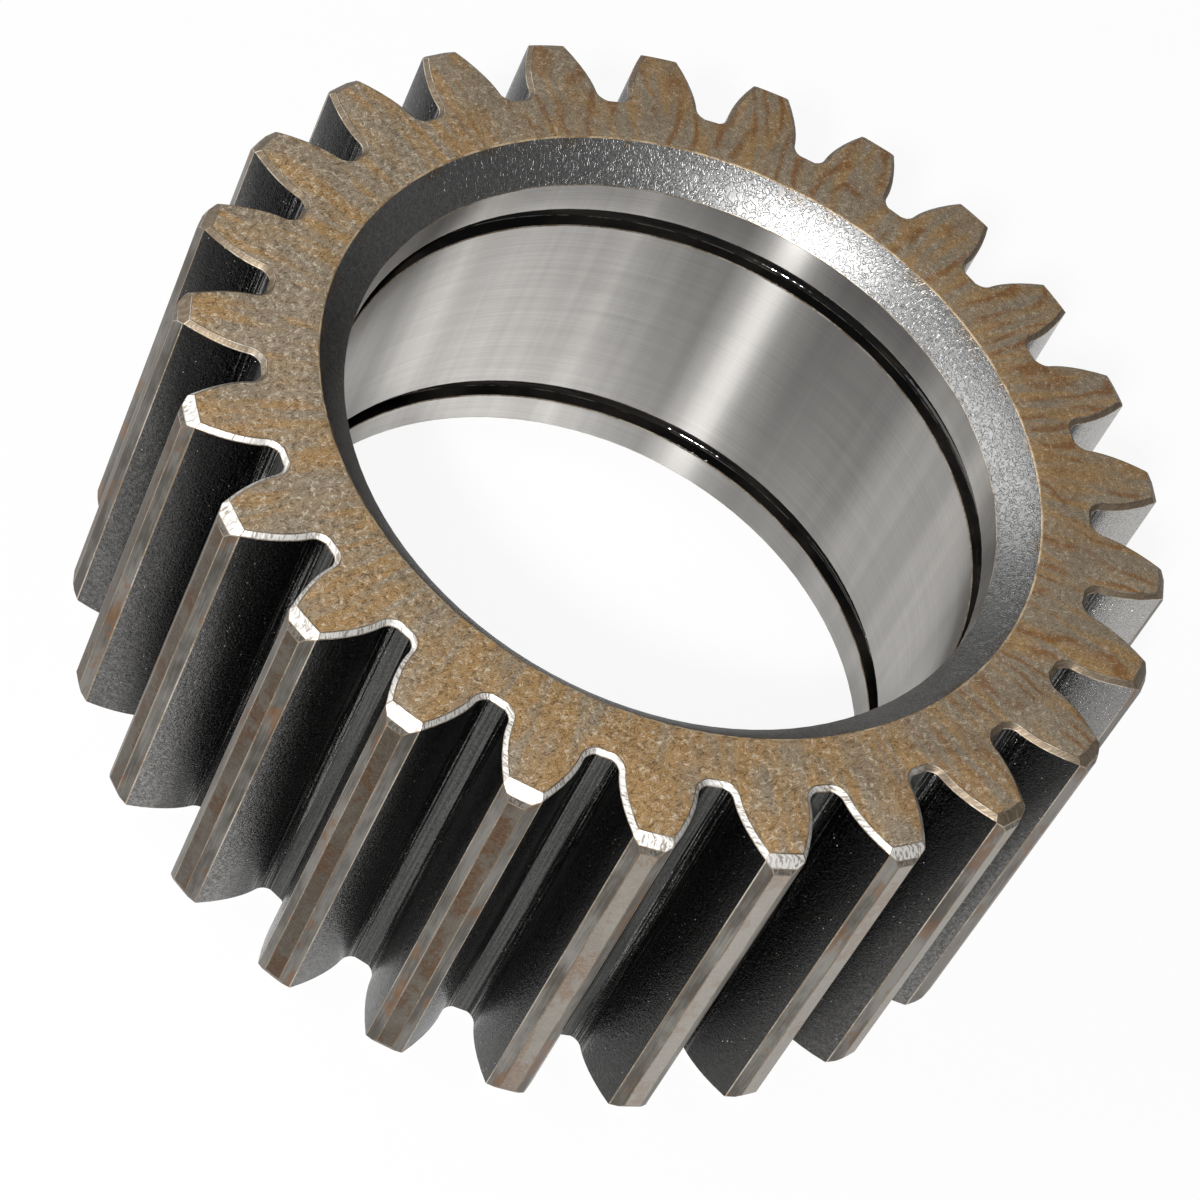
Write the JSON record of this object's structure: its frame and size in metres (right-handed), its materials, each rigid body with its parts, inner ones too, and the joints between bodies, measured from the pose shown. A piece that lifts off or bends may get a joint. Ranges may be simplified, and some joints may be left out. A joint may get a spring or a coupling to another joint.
{
  "type": "planet gear",
  "caption": "Wide straight-cut planet gear with a large ground bearing bore, two retaining-ring grooves and chamfered tooth ends.",
  "frame": {"origin": "centre of the bore at half the face width", "axes": "+Z along the bore axis; +X through the middle of one tooth"},
  "size_m": [0.1087, 0.1088, 0.048],
  "materials": {
    "gear_steel": "case-hardened steel: shot-blasted black-grey flanks, tan heat tint and light rust on the end faces, finely ground bore, bright ground end chamfers"
  },
  "bodies": {
    "root": {"planet_gear": "gear_steel"}
  },
  "joints": []
}
